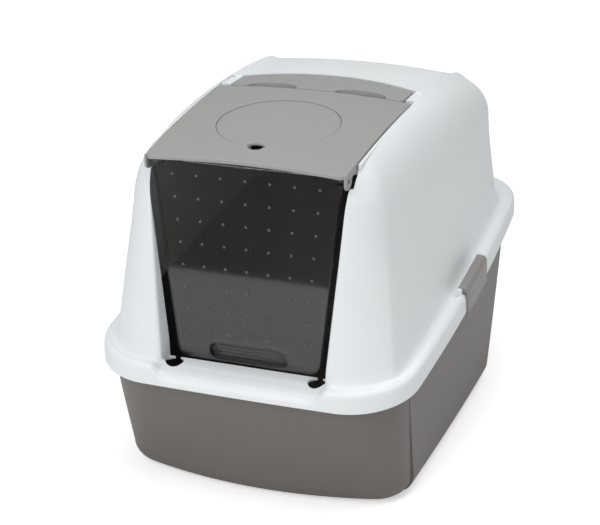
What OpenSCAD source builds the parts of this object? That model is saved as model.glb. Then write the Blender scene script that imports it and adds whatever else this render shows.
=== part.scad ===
/* [Overall] */
// Outside width over the rim
rim_w = 384; // [360:1:410]
// Outside length over the rim
rim_l = 560; // [530:1:590]
// Height of the roof's highest point
roof_top = 420; // [410:1:440]
// Radius of the domed roof
roof_r = 1400; // [1200:50:2000]

/* [Rim] */
// Height of the rim's lower edge at mid-length
rim_z = 180; // [170:1:190]
// Rise of the rim toward the back, mm per mm
rim_slope = 0.14; // [0.10:0.01:0.16]
// Depth of the hood's rim band
band_h = 23; // [20:1:26]
// Corner radius of the rim in plan
rim_r = 76; // [60:1:90]
// Bow of the rim's long sides
rim_bow = 11.5; // [6:0.5:16]
// Bow of the rim's short ends
rim_end_bow = 3.5; // [2:0.5:8]

/* [Pan] */
// How far the pan's floor lies inside the rim, on each side
pan_in = 20; // [16:1:30]
// How far the floor's front lies behind the rim's front
pan_front_in = 42; // [34:1:55]
// How far the floor's back lies inside the rim's back
pan_back_in = 67; // [50:1:80]
// Bow of the pan's front and back
pan_bow = 28; // [15:1:34]
// Round where the walls meet the floor
pan_fillet = 26; // [15:1:30]
// Plastic thickness of the pan
pan_wall = 3; // [2.4:0.1:4]
// Step where the flat side panel stands proud
panel_step = 2.4; // [1:0.1:3]

/* [Hood] */
// Plastic thickness of the hood
hood_wall = 2.8; // [2.4:0.1:3.4]
// How far the hood's foot stands inside the rim, on each side
hood_in = 21; // [19:0.5:26]
// Lean of the side, from its foot to where it rounds into the roof
side_lean = 14; // [8:0.5:20]
// Reach of the round between the side and the roof
side_round = 39.5; // [34:0.5:46]
// Widening of the hood toward the back
flare = 0.045; // [0:0.005:0.06]
// How far the hood's foot stands behind the rim's front
hood_front_in = 16; // [13:0.5:20]
// Lean of the hood's front
front_lean = 18; // [14:0.5:24]
// Reach of the round between the front and the roof
front_round = 32; // [26:1:38]
// How far the hood's foot stands inside the rim's back
hood_back_in = 28; // [22:1:34]
// Lean of the hood's back
back_lean = 34; // [26:1:42]
// Reach of the round between the back and the roof
back_round = 78; // [66:1:90]
// Corner radius of the hood at its foot
hood_r = 66; // [55:1:72]

/* [Opening] */
// Narrowing of the opening, from the lid to the sill, on each side
open_taper = 18.5; // [14:0.5:22]
// Height of the sill above the rim's lower edge
sill_up = 15.24; // [13:0.02:17]
// How far the opening's inner edge stands behind the rim's front
frame_in = 39; // [36:0.5:42]
// Radius of the bag anchor notches
anchor_r = 10.5; // [8:0.5:12]

/* [Lid] */
// Length of the lid, from its front edge to its hinge end
lid_l = 216.7; // [205:0.1:225]
// How far the lid's front edge stands behind the rim's front
lid_front_in = 34; // [32:0.5:36]
// Narrowing of the lid toward the front, on each side
lid_taper = 4; // [2:0.5:6]
// Depth of the lid's side flange
lid_flange = 9; // [7:0.5:11]
// Depth of the lip along the lid's front
lid_lip = 4.5; // [3.5:0.1:6]
// Plastic thickness of the lid
lid_wall = 2.6; // [2:0.1:3]
// Gap between the lid and the hood
lid_gap = 1.4; // [1:0.1:2]
// Depth of the lid's hinge axis below the top of the roof
lid_axis_drop = 7.8; // [7.4:0.1:8.2]
// Radius of the lid's hinge pins
lid_pin_r = 2; // [1.6:0.1:2.2]
// Running clearance round every pin
pin_clear = 0.06; // [0.03:0.01:0.1]

/* [Filter] */
// Radius of the round filter cover
cover_r = 68.2; // [60:0.1:72]
// Middle of the filter cover, back from the lid's front edge
cover_in = 104; // [96:1:112]
// Gap round the filter cover
cover_gap = 0.6; // [0.4:0.1:1]
// Depth of the filter basket below the lid
basket_depth = 19; // [14:0.5:22]
// Thickness of the carbon filter
filter_t = 7; // [5:0.5:8]

/* [Door] */
// Gap between the door and the opening, on each side
door_gap = 4.9; // [3.5:0.1:6]
// Narrowing of the door from its top to its foot, on each side
door_taper = 26.6; // [22:0.1:30]
// Gap between the door and the sill
door_foot_gap = 2; // [1.5:0.1:3]
// Thickness of the door
door_t = 2.4; // [2:0.1:3]
// Depth of the rim along the door's edge
door_rim = 7; // [5:0.5:9]
// Depth of the door's pivot axis below the lid's front corner
door_axis_drop = 9.2; // [8.6:0.1:9.8]
// Radius of the door's pivot pins
door_pin_r = 2.5; // [2:0.1:3]
// Radius of each raised dot on the door
dot_r = 1.7; // [1:0.1:2.5]
// Length of the finger grip
grip_l = 91; // [80:1:100]
// Height of the finger grip
grip_h = 18; // [15:0.5:21]
// Depth of the finger grip
grip_depth = 10; // [8:0.5:12]

/* [Handle] */
// Gap between the handle and the lid
handle_gap = 4.3; // [4:0.1:6]
// Width of the handle from front to back at its middle
handle_l = 65.5; // [60:0.5:70]
// How much shorter it is at its ends
handle_arch = 29.5; // [22:0.5:34]
// Plastic thickness of the handle
handle_t = 3; // [2.5:0.1:4]
// Depth of the handle's pivot axis below the top of the roof
handle_axis_drop = 11; // [10:0.1:12]
// Depth of the recess under the handle
recess_depth = 30; // [26:1:34]
// Distance of each finger gap from the middle
finger_x = 54; // [48:1:60]
// Half width of each finger gap
finger_w = 30; // [24:1:34]

/* [Clips] */
// Length of each side clip
clip_l = 84; // [70:1:90]
// Middle of the clips, back from the middle of the rim
clip_y = 3; // [-15:1:15]
// Height of the clip's hinge above the rim's lower edge
clip_axis_up = 27.2; // [26.5:0.1:28]
// Radius of the clip's hinge pins
clip_pin_r = 1.5; // [1.2:0.1:1.8]

/* [Hidden] */
$fn = 96;
half_w = rim_w / 2;
half_l = rim_l / 2;
side_steps = 3;
corner_steps = 7;
PAN_GREY = [0.42, 0.40, 0.39];
LID_GREY = [0.66, 0.66, 0.655];
CLIP_GREY = [0.57, 0.56, 0.55];
HOOD_WHITE = [0.93, 0.95, 0.96];
SMOKE = [0.2, 0.19, 0.18];
CHARCOAL = [0.08, 0.08, 0.08];
dome_z = roof_top - roof_r;

// Distances inside the rim's outer edge: the pan's wall, the pan's lip and the shoulder under the ledge
rim_grip = 11;
pan_lip = 4.5;
rim_shoulder = 6.5;
// The hood's seat above the rim's lower edge, and the thickness of the pan's lip
rim_seat = 6.2;
flange_t = 3;
pan_corner = 46;
pan_w = half_w - pan_in;
pan_front = half_l - pan_front_in;
pan_back = half_l - pan_back_in;

hood_w = half_w - hood_in;
shoulder_w = hood_w - side_lean;
roof_w = shoulder_w - side_round;
hood_front = half_l - hood_front_in;
hood_back = half_l - hood_back_in;
// How far the sill dips below the rim band, and between which widths it comes back up
sill_depth = 13.2;
dip_reach = 26;

lid_w_back = roof_w;
lid_w_front = lid_w_back - lid_taper;
lid_front = lid_front_in - half_l;
lid_back = lid_front + lid_l;
lid_axis_y = lid_back - 3.9;
lid_axis_z = roof_top - lid_axis_drop;
lug_x = 40;
lug_t = 5;
knuckle_gap = 0.6;
seat_clear = 0.3;
// Room for the lid's rear corners, which swing down as it opens
swing_room = 8;
cover_y = lid_front + cover_in;
// The filter cover's seat, below the roof at its middle
cover_seat = 3.4;

frame_y = frame_in - half_l;
sill_z = rim(frame_y) + sill_up;
open_high = lid_w_front;
open_low = open_high - open_taper;
anchor_x = open_low - 11;
anchor_y = frame_y - 10;

door_face = frame_y + 0.5;
door_axis_y = door_face + 4;
door_axis_z = dome(lid_w_front, door_axis_y) - door_axis_drop;
door_top = door_axis_z + 4.5;
door_foot = sill_z + door_foot_gap;
door_high = open_high - door_gap;
door_low = door_high - door_taper;
notch_w = 7.4;
notch_h = 9.5;
pin_reach = 12;
grip_z = door_foot + grip_h / 2 + 3;
dot_rows = 8;
dot_pitch = (door_top - door_foot) / 8.9;

handle_front = lid_back + handle_gap;
handle_back = handle_front + handle_l;
handle_end = handle_back - handle_arch;
handle_w = lid_w_back - 12;
handle_axis_y = handle_front + 14;
handle_axis_z = roof_top - handle_axis_drop;
handle_pin_r = 2.5;
handle_lug_x = handle_w + 4.5;
handle_lug_t = 8.5;
recess_floor = roof_top - recess_depth;

clip_axis_x = half_w - 8.5;
clip_knuckle_r = 3.2;
// How far the clip reaches below the edge of the rim band
clip_tab = 3.5;
// Where the hood has its rings: shares of the way from the rim to the roof, then shares of the roof's size
hood_levels = [0.06, 0.18, 0.32, 0.46, 0.6, 0.7, 0.79, 0.86, 0.92, 0.96, 0.985, 1];
roof_shares = [0.8, 0.6, 0.4];

// Heights that every cut through the roof starts from and rises past
below_roof = door_axis_z - 10;
cut_h = roof_top - below_roof + 20;

// Height of the domed roof over a point in plan
function dome(x, y) = dome_z + sqrt(roof_r * roof_r - x * x - y * y);

// Height of the rim's lower edge
function rim(y) = rim_z + rim_slope * y;

function smooth(u) = let (v = min(max(u, 0), 1)) v * v * (3 - 2 * v);

// One quarter of a bowed rounded rectangle, from the middle of its side to the middle of its end.
// Four long arcs bow the sides and the ends, and a tangent arc of radius r rounds each corner.
function quarter(hx, hy, sx, sy, r) =
    let (
        side_r = (hy * hy + sx * sx) / (2 * sx),
        end_r = (hx * hx + sy * sy) / (2 * sy),
        a = hx - side_r,
        b = hy - end_r,
        p = side_r - r,
        q = end_r - r,
        d = sqrt(a * a + b * b),
        t = (p * p - q * q + d * d) / (2 * d),
        h = sqrt(p * p - t * t),
        ux = -a / d,
        uy = b / d,
        cx = a + t * ux - h * uy,
        cy = t * uy + h * ux,
        c1 = [a + t * ux + h * uy, t * uy - h * ux],
        c = (cx > 0 && cy > 0) ? [cx, cy] : c1,
        from = atan2(c[1], c[0] - a),
        to = atan2(c[1] - b, c[0])
    )
    concat(
        [for (i = [0 : side_steps - 1]) let (g = from * i / side_steps) [a + side_r * cos(g), side_r * sin(g)]],
        [for (i = [0 : corner_steps]) let (g = from + (to - from) * i / corner_steps)
            [c[0] + r * cos(g), c[1] + r * sin(g)]],
        [for (i = [1 : side_steps]) let (g = to + (90 - to) * i / side_steps) [end_r * cos(g), b + end_r * sin(g)]]
    );

// A closed outline from a back quarter and a front quarter
function outline(back, front) =
    let (n = len(back) - 1)
    concat(
        [for (i = [0 : n - 1]) back[i]],
        [for (i = [n : -1 : 1]) [-back[i][0], back[i][1]]],
        [for (i = [0 : n - 1]) [-front[i][0], -front[i][1]]],
        [for (i = [n : -1 : 1]) [front[i][0], -front[i][1]]]
    );

// The point on the other side of the middle plane
function mirror_of(i, n) = ((n / 2 - i) % n + n) % n;

// Two triangles across the cap between point i, its neighbour and their mirrored points
function cap_strip(base, i, n, up) =
    let (
        a = base + i,
        b = base + (i + 1) % n,
        c = base + mirror_of(i + 1, n),
        d = base + mirror_of(i, n)
    )
    [for (t = [[a, b, c], [a, c, d]]) if (t[0] != t[1] && t[1] != t[2] && t[0] != t[2])
        up ? [t[2], t[1], t[0]] : t];

// A solid whose skin runs through a stack of rings, closed by a cap at each end
module stack(rings) {
    n = len(rings[0]);
    count = len(rings);
    right_side = concat([for (i = [3 * n / 4 : n - 1]) i], [for (i = [0 : n / 4 - 1]) i]);
    walls = [for (k = [0 : count - 2]) for (i = [0 : n - 1])
        let (a = k * n + i, b = k * n + (i + 1) % n)
        each [[a, a + n, b], [b, a + n, b + n]]];
    first_cap = [for (i = right_side) each cap_strip(0, i, n, false)];
    last_cap = [for (i = right_side) each cap_strip((count - 1) * n, i, n, true)];
    polyhedron(points = [for (r = rings) each r], faces = concat(walls, first_cap, last_cap));
}

// A solid through a list of four-cornered sections
module loft(sections) {
    last = 4 * (len(sections) - 1);
    polyhedron(
        points = [for (s = sections) each s],
        faces = concat(
            [[0, 1, 2], [0, 2, 3], [last + 2, last + 1, last], [last + 3, last + 2, last]],
            [for (k = [0 : len(sections) - 2]) for (i = [0 : 3])
                let (a = 4 * k + i, b = 4 * k + (i + 1) % 4)
                each [[a, a + 4, b], [b, a + 4, b + 4]]]
        )
    );
}

// Everything below the roof's dome, less a depth
module under_dome(depth) {
    translate([0, 0, dome_z])
        sphere(r = roof_r - depth, $fn = 360);
}

// Draws its children on the right, and mirrored on the left
module both_sides() {
    for (side = [0, 1])
        mirror([side, 0, 0])
            children();
}

// Moves its children into the rim's own sloping plane
module on_rim(y) {
    translate([0, 0, rim_z])
        rotate([atan(rim_slope), 0, 0])
            translate([0, y, 0])
                children();
}

// A cylinder from one x to another
module along_x(x0, x1, r) {
    translate([x0, 0, 0])
        rotate([0, 90, 0])
            cylinder(r = r, h = x1 - x0);
}

// A slot with round ends, as a flat outline
module slot(length, width) {
    for (side = [-1, 1])
        translate([side * (length - width) / 2, 0])
            circle(d = width);
    square([length - width, width], center = true);
}

// An outline of the rim, a distance inside its outer edge
function rim_outline(inset) =
    let (q = quarter(half_w - inset, half_l - inset, rim_bow, rim_end_bow, rim_r - inset))
    outline(q, q);

function lifted(ring, lift) = [for (p = ring) [p[0], p[1], rim(p[1]) + lift]];

// Pan: outline at a share u of the way from the floor to the rim
function pan_outline(u, inset) =
    let (
        hx = pan_w + (half_w - rim_grip - pan_w) * u - inset,
        front = pan_front + (half_l - rim_grip - pan_front) * u - inset,
        back = pan_back + (half_l - rim_grip - pan_back) * u - inset,
        side_bow = 3 + (rim_bow - 3) * u,
        end_bow = pan_bow + (rim_end_bow - pan_bow) * u,
        r = max(pan_corner + (rim_r - rim_grip - pan_corner) * u - inset, 12),
        step = panel_step * (1 - u),
        ring = outline(quarter(hx, back, side_bow, end_bow, r), quarter(hx, front, side_bow, end_bow, r))
    )
    [for (i = [0 : len(ring) - 1]) ring[i] + [on_side(i, len(ring)) * step, 0]];

// The flat panels of the pan's sides: 1 on the right, -1 on the left, 0 elsewhere
function on_side(i, n) =
    let (near = min(i, n - i), far = abs(i - n / 2))
    near < side_steps ? 1 : far < side_steps ? -1 : 0;

function pan_ring(v, inset) =
    [for (p = pan_outline(v, inset)) [p[0], p[1], pan_fillet + v * (rim(p[1]) - pan_fillet)]];

function fillet_ring(g, inset, raise) =
    [for (p = pan_outline(0, inset + (pan_fillet - inset) * (1 - sin(g))))
        [p[0], p[1], raise + (pan_fillet - raise) * (1 - cos(g))]];

module pan() {
    color(PAN_GREY)
        stack(concat(
            [for (g = [0 : 22.5 : 67.5]) fillet_ring(g, 0, 0)],
            [for (v = [0, 0.5, 1]) pan_ring(v, 0)],
            [lifted(rim_outline(rim_grip), rim_seat - flange_t)],
            [lifted(rim_outline(pan_lip), rim_seat - flange_t)],
            [lifted(rim_outline(pan_lip), rim_seat)],
            [lifted(rim_outline(rim_grip + pan_wall), rim_seat)],
            [for (v = [1, 0.5, 0]) pan_ring(v, pan_wall)],
            [for (g = [60 : -30 : 0]) fillet_ring(g, pan_wall, pan_wall)]
        ));
}

// Hood: how far out it stands at a share t of the way from the rim to the roof.
// It leans in as far as the turn, and then rounds over into the roof.
function bulge(t, turn, foot, lean, reach) =
    t < turn ? foot - lean * t / turn
    : foot - lean - reach * (1 - sqrt(1 - pow((t - turn) / (1 - turn), 2)));

function hood_front_at(t) = bulge(t, 0.8, hood_front, front_lean, front_round);

function hood_ring(t, inset) =
    let (
        hx = bulge(t, 0.7, hood_w, side_lean, side_round) - inset,
        front = hood_front_at(t) - inset,
        back = bulge(t, 0.6, hood_back, back_lean, back_round) - inset,
        r = hood_r - 20 * t - inset,
        ring = outline(quarter(hx, back, 8, 4 + 8 * t, r), quarter(hx, front, 8, 4, r))
    )
    [for (p = ring)
        let (x = p[0] * (1 + flare * t * p[1] / 200), foot = rim(p[1]) + band_h)
        [x, p[1], foot + t * (dome(x, p[1]) - foot) - inset * t]];

// The sill dips between the two shoulders of the rim's front
function sill_dip(p) = p[1] > 80 - half_l ? 0 : 1 - smooth((abs(p[0]) - anchor_x) / dip_reach);

function band_ring(inset, lift, dip) =
    [for (p = rim_outline(inset)) [p[0], p[1], rim(p[1]) + lift - dip * sill_dip(p)]];

// The cove between the ledge and the hood's foot, a distance outside the hood
function cove_ring(out, lift, dip) =
    let (
        ring = outline(quarter(hood_w + out, hood_back + out, 8, 4, hood_r + out),
            quarter(hood_w + out, hood_front + out * 0.5, 8, 4, hood_r + out))
    )
    [for (p = ring) [p[0], p[1], rim(p[1]) + lift - dip * sill_dip(p)]];

// The roof within the hood's last ring: the same ring drawn in to a share of its size
function roof_ring(share, inset) =
    [for (p = hood_ring(1, inset))
        let (x = p[0] * share, y = p[1] * share)
        [x, y, dome(x, y) - inset]];

// The roof and its rounded edges as a solid block, an inset below the hood's outer skin
module roof_block(inset) {
    stack(concat(
        [for (t = hood_levels) if (t >= 0.6) hood_ring(t, inset)],
        [for (share = roof_shares) roof_ring(share, inset)]
    ));
}

module hood_shell() {
    last = len(hood_levels) - 1;
    roof_last = len(roof_shares) - 1;
    stack(concat(
        [for (k = [roof_last : -1 : 0]) roof_ring(roof_shares[k], hood_wall)],
        [for (k = [last : -1 : 0]) hood_ring(hood_levels[k], hood_wall)],
        [cove_ring(4 - hood_wall, 25 - hood_wall / 2, 9)],
        [cove_ring(8.5 - hood_wall, band_h - hood_wall, 11)],
        [band_ring(rim_shoulder, band_h - hood_wall, 12)],
        [band_ring(rim_shoulder, rim_seat, 0)],
        [band_ring(hood_wall, rim_seat, 0)],
        [band_ring(hood_wall, 0, 0)],
        [band_ring(0, 0, 0)],
        [band_ring(0.4, band_h * 0.65, 9)],
        [band_ring(1.4, band_h - 2.5, 12.5)],
        [band_ring(3.6, band_h - 0.4, sill_depth)],
        [band_ring(6.5, band_h + 0.2, 13)],
        [cove_ring(8.5, band_h + 0.8, 11)],
        [cove_ring(4, band_h + 3, 9.5)],
        [cove_ring(1.5, band_h + 7, 8)],
        [for (t = hood_levels) hood_ring(t, 0)],
        [for (share = roof_shares) roof_ring(share, 0)]
    ));
}

// Half width of the lid at a place along it
function lid_x(y) = lid_w_front + (lid_w_back - lid_w_front) * (y - lid_front) / lid_l;

// Half width of the front opening at a height
function open_x(z) = open_low + (open_high - open_low) * (z - sill_z) / (door_axis_z - sill_z);

module front_opening() {
    low = sill_z - 4;
    high = roof_top;
    translate([0, frame_y + 21, 0])
        rotate([90, 0, 0])
            linear_extrude(120)
                polygon([[-open_x(low), low], [open_x(low), low], [open_x(high), high], [-open_x(high), high]]);
}

// Plan of the lid, grown by a gap
module lid_plan(grow, front, back) {
    polygon([[-lid_w_front - grow, front], [lid_w_front + grow, front],
        [lid_w_back + grow, back], [-lid_w_back - grow, back]]);
}

// The arc along the back of the handle's recess, moved outward by a distance
module arch(grow) {
    half = lid_w_back + lid_gap;
    rise = handle_back - handle_end;
    arch_r = (half * half + rise * rise) / (2 * rise);
    translate([0, handle_back + lid_gap - arch_r])
        circle(r = arch_r + grow, $fn = 240);
}

// Plan of the recess behind the lid
module recess_plan(grow) {
    half = lid_w_back + lid_gap + grow;
    intersection() {
        arch(grow);
        translate([-half, lid_back - 2 - grow])
            square([2 * half, handle_back - lid_back + 20]);
    }
}

// The narrow wall that stands between the cheek and the door, on the right
module cheek_return() {
    low = sill_z - 5;
    high = door_axis_z - 18;
    foot = rim(hood_front_in - half_l) + band_h;
    loft([for (k = [0 : 5])
        let (
            z = low + (high - low) * k / 5,
            t = max((z - foot) / (dome(open_high, frame_y) - foot), 0),
            y = min(1.4 - hood_front_at(t), frame_y - 2),
            x = open_x(z),
            inner = x - 0.12 * (frame_y - y)
        )
        [[inner, frame_y, z], [x - 0.2, y, z], [x + hood_wall, y + 0.6, z], [inner + hood_wall, frame_y, z]]]);
}

module sill() {
    translate([-open_low - 1, 0, 0])
        rotate([90, 0, 90])
            linear_extrude(2 * open_low + 2)
                polygon([[frame_y, sill_z], [frame_y, sill_z - hood_wall],
                    [-hood_front - 1.5, sill_z - 4.6 - hood_wall], [-hood_front - 1.5, sill_z - 4.2]]);
}

// The seat along each side of the roof opening, on which the lid's flange lies
module lid_rail() {
    // A strip beside the lid's edge, up to a place along it
    module strip(from, to, back) {
        front = lid_front + 34;
        x_front = lid_x(front);
        x_back = lid_x(back);
        translate([0, 0, below_roof])
            linear_extrude(cut_h)
                polygon([[x_front + from, front], [x_back + from, back],
                    [x_back + to, back], [x_front + to, front]]);
    }
    difference() {
        union() {
            intersection() {
                roof_block(hood_wall / 2);
                strip(lid_gap, lid_gap + 3, lid_back);
            }
            intersection() {
                under_dome(lid_flange + seat_clear);
                strip(-8, lid_gap + 3, lid_axis_y - swing_room);
            }
        }
        under_dome(lid_flange + 4);
    }
}

module handle_recess() {
    difference() {
        intersection() {
            translate([0, 0, recess_floor - hood_wall])
                linear_extrude(cut_h)
                    recess_plan(hood_wall);
            roof_block(hood_wall / 2);
        }
        translate([0, 0, recess_floor])
            linear_extrude(cut_h)
                recess_plan(0);
        translate([-lid_w_back - 5, lid_back - 10, lid_axis_z - 10])
            cube([2 * lid_w_back + 10, 10, cut_h]);
    }
}

// The lug that carries one end of the handle
module handle_lug() {
    foot = recess_floor - handle_axis_z - 1;
    translate([handle_lug_x, handle_axis_y, handle_axis_z]) {
        along_x(0, handle_lug_t, 5);
        translate([0, -5, foot])
            cube([handle_lug_t, 10, -foot]);
    }
}

// The lug that carries one of the lid's hinge pins
module lid_lug() {
    foot = recess_floor - lid_axis_z - 1;
    translate([lug_x - lug_t / 2, lid_axis_y, lid_axis_z]) {
        along_x(0, lug_t, 4);
        translate([0, -4, foot])
            cube([lug_t, 7, -foot]);
    }
}

// The two lugs that carry one side clip
module clip_lugs() {
    on_rim(clip_y)
        for (end = [-1, 1])
            translate([clip_axis_x, end * (clip_l / 2 + 3), clip_axis_up])
                rotate([90, 0, 0])
                    translate([0, 0, -2]) {
                        cylinder(r = 3.6, h = 4);
                        translate([-3.6, -5.5, 0])
                            cube([7.2, 5.5, 4]);
                    }
}

// Every bore on one side: the lid's, the handle's and the clip's
module hinge_bores() {
    translate([0, lid_axis_y, lid_axis_z])
        along_x(lug_x - 10, lug_x + 10, lid_pin_r + pin_clear);
    translate([0, handle_axis_y, handle_axis_z])
        along_x(handle_lug_x - 5, handle_lug_x + handle_lug_t - 1, handle_pin_r + pin_clear);
    on_rim(clip_y)
        translate([clip_axis_x, 0, clip_axis_up])
            rotate([90, 0, 0])
                cylinder(r = clip_pin_r + pin_clear, h = clip_l + 20, center = true);
}

// Room in the rim band for each clip: a shallow seat, and a slot for its hook
module clip_seat() {
    on_rim(clip_y) {
        translate([half_w + 8.2, 0, 10])
            cube([20, clip_l + 1.6, 40], center = true);
        translate([half_w + 3, 0, 1])
            cube([20, clip_l + 1.6, 6.4], center = true);
    }
}

module hood() {
    color(HOOD_WHITE)
        difference() {
            union() {
                difference() {
                    hood_shell();
                    front_opening();
                    translate([0, 0, below_roof])
                        linear_extrude(cut_h) {
                            lid_plan(lid_gap, -half_l, lid_back - 1);
                            recess_plan(0);
                        }
                    both_sides()
                        clip_seat();
                }
                sill();
                handle_recess();
                both_sides() {
                    cheek_return();
                    lid_rail();
                    lid_lug();
                    handle_lug();
                    clip_lugs();
                }
            }
            both_sides() {
                translate([anchor_x, anchor_y, sill_z - 20])
                    cylinder(r = anchor_r, h = 30);
                hinge_bores();
            }
        }
}

// Moves its children to the middle of the filter cover, square to the roof there
module at_cover() {
    translate([0, cover_y, dome(0, cover_y)])
        rotate([asin(-cover_y / roof_r), 0, 0])
            children();
}

module lid_skin() {
    corner = 24;
    difference() {
        intersection() {
            translate([0, 0, below_roof])
                linear_extrude(cut_h)
                    lid_plan(0, lid_front, lid_back);
            under_dome(0);
        }
        intersection() {
            translate([0, 0, below_roof - 1])
                linear_extrude(cut_h)
                    lid_plan(-lid_wall, lid_front + lid_wall, lid_back + 5);
            under_dome(lid_wall);
        }
        // The flange is shallow along the sides and deeper at the front corners
        intersection() {
            under_dome(lid_flange);
            translate([-half_w, lid_front + corner, below_roof - 1])
                cube([2 * half_w, half_l, cut_h]);
        }
        intersection() {
            under_dome(lid_lip);
            translate([lid_wall - lid_w_front, lid_front - 1, below_roof - 1])
                cube([2 * (lid_w_front - lid_wall), corner, cut_h]);
        }
    }
}

// One of the lid's hinge knuckles, with its pin
module lid_knuckle() {
    translate([lug_x + lug_t / 2 + knuckle_gap, lid_axis_y, lid_axis_z]) {
        along_x(0, lug_t, 3.8);
        translate([0, -3.8, 0])
            cube([lug_t, 7.6, 5.4]);
        along_x(-lug_t - 1, 1, lid_pin_r);
    }
}

module lid() {
    color(LID_GREY)
        difference() {
            union() {
                lid_skin();
                at_cover()
                    translate([0, 0, -basket_depth])
                        cylinder(r = cover_r - 3, h = basket_depth - 3);
                intersection() {
                    at_cover()
                        translate([0, 0, -7])
                            cylinder(r = cover_r + cover_gap + 2.4, h = 12);
                    under_dome(0.4);
                }
                both_sides()
                    lid_knuckle();
            }
            // Seat of the cover, basket below it and vents in the basket's floor
            at_cover() {
                translate([0, 0, -cover_seat])
                    cylinder(r = cover_r + cover_gap, h = 20);
                translate([0, 0, -basket_depth + 2])
                    cylinder(r = cover_r - 5.4, h = basket_depth);
                for (row = [-3 : 3])
                    translate([0, row * 14, -basket_depth - 1])
                        linear_extrude(5)
                            slot(2 * sqrt(pow(cover_r - 12, 2) - pow(row * 14, 2)), 7);
            }
            both_sides()
                translate([0, door_axis_y, door_axis_z])
                    along_x(lid_w_front - 10, lid_w_front + 10, door_pin_r + pin_clear);
        }
}

module filter_cover() {
    color(LID_GREY)
        at_cover()
            difference() {
                rotate_extrude($fn = 96)
                    polygon(concat(
                        [[0, -cover_seat], [cover_r, -cover_seat]],
                        [for (k = [12 : -1 : 0])
                            let (r = cover_r * k / 12)
                            [r, sqrt(roof_r * roof_r - r * r) - roof_r]]
                    ));
                translate([0, -cover_r - 4.6, -10])
                    cylinder(r = 12, h = 20);
            }
}

module carbon_filter() {
    color(CHARCOAL)
        at_cover()
            translate([0, 0, -basket_depth + 2.4])
                cylinder(r = cover_r - 6.6, h = filter_t);
}

// Half width of the door at a height
function door_x(z) = door_low + (door_high - door_low) * (z - door_foot) / (door_top - door_foot);

// Outline of the door seen from the front, shrunk by an inset
module door_outline(inset) {
    low = door_foot + inset;
    round = 9;
    difference() {
        union() {
            polygon([[-door_x(low) + inset, low + round], [-door_x(low) + inset + round, low],
                [door_x(low) - inset - round, low], [door_x(low) - inset, low + round],
                [door_x(door_top) - inset, door_top - inset], [-door_x(door_top) + inset, door_top - inset]]);
            for (side = [-1, 1])
                translate([side * (door_x(low) - inset - round + 0.4), low + round])
                    circle(r = round);
        }
        for (side = [-1, 1])
            translate([side * (door_high - notch_w - inset + 20) - 20, door_top - notch_h - inset])
                square([40, 60]);
    }
}

// Moves its children to the door's front face, with y up
module on_door() {
    translate([0, door_face, 0])
        rotate([90, 0, 0])
            children();
}

module door() {
    color(SMOKE)
        difference() {
            union() {
                on_door()
                    translate([0, 0, -door_t])
                        linear_extrude(door_t)
                            door_outline(0);
                on_door()
                    translate([0, 0, -door_rim])
                        linear_extrude(door_rim)
                            difference() {
                                door_outline(0);
                                door_outline(1.8);
                            }
                on_door()
                    translate([0, grip_z, -grip_depth])
                        linear_extrude(grip_depth + 0.8)
                            slot(grip_l + 3.6, grip_h + 3.6);
                for (row = [0 : dot_rows - 1])
                    for (col = [-3 : 3])
                        let (z = door_top - dot_pitch * (row + 0.615))
                            if (z - grip_z > grip_h)
                                on_door()
                                    translate([col * door_x(z) * 0.261, z, 0])
                                        cylinder(r1 = dot_r, r2 = dot_r * 0.5, h = 0.8, $fn = 16);
                both_sides()
                    translate([door_high - notch_w, door_axis_y, door_axis_z]) {
                        along_x(-6, 0, 4);
                        along_x(-4, pin_reach, door_pin_r);
                    }
            }
            on_door()
                translate([0, grip_z, -grip_depth + 1.8])
                    linear_extrude(grip_depth + 2)
                        difference() {
                            slot(grip_l, grip_h);
                            for (k = [-1, 1])
                                translate([0, k * grip_h / 6])
                                    square([grip_l - 14, 1.6], center = true);
                        }
            // Room in front of the ribs inside the grip
            on_door()
                translate([0, grip_z, -grip_depth + 4.4])
                    linear_extrude(grip_depth + 2)
                        slot(grip_l, grip_h);
        }
}

// Plan of the handle: a crescent with two finger gaps along its front edge
module handle_plan(inset) {
    difference() {
        intersection() {
            arch(-1.6 - inset);
            translate([-handle_w + inset, handle_front + inset])
                square([2 * (handle_w - inset), 100]);
        }
        for (side = [-1, 1])
            translate([side * finger_x, handle_front])
                scale([1, 0.55])
                    circle(r = finger_w + inset, $fn = 64);
    }
}

module handle() {
    color(LID_GREY)
            union() {
                difference() {
                    intersection() {
                        translate([0, 0, recess_floor])
                            linear_extrude(recess_depth)
                                handle_plan(0);
                        under_dome(0);
                    }
                    under_dome(7);
                    intersection() {
                        translate([0, 0, recess_floor])
                            linear_extrude(recess_depth)
                                handle_plan(handle_t);
                        under_dome(handle_t);
                    }
                }
                both_sides()
                    translate([handle_w, handle_axis_y, handle_axis_z]) {
                        along_x(-6, 0, 4.4);
                        along_x(-3, 7, handle_pin_r);
                    }
            }
}

// One side clip, built on the right
module clip() {
    on_rim(clip_y) {
        translate([clip_axis_x, 0, clip_axis_up])
            rotate([90, 0, 0]) {
                cylinder(r = clip_knuckle_r, h = clip_l, center = true);
                cylinder(r = clip_pin_r, h = clip_l + 9.4, center = true);
            }
        rotate([90, 0, 0])
            translate([0, 0, -clip_l / 2])
                linear_extrude(clip_l)
                    polygon([
                        [clip_axis_x, clip_axis_up + clip_knuckle_r],
                        [clip_axis_x, clip_axis_up - 0.8],
                        [half_w - 1.2, clip_axis_up - 1.6],
                        [half_w - 1.2, 2.7],
                        [half_w - 5.4, 2.7],
                        [half_w - 4.4, 0],
                        [half_w - 1.2, -1],
                        [half_w - 0.8, -clip_tab],
                        [half_w + 2.2, -clip_tab],
                        [half_w + 2.2, clip_axis_up - 1],
                        [half_w - 1, clip_axis_up + clip_knuckle_r]
                    ]);
    }
}

module clip_left() {
    color(CLIP_GREY)
        mirror([1, 0, 0])
            clip();
}

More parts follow.
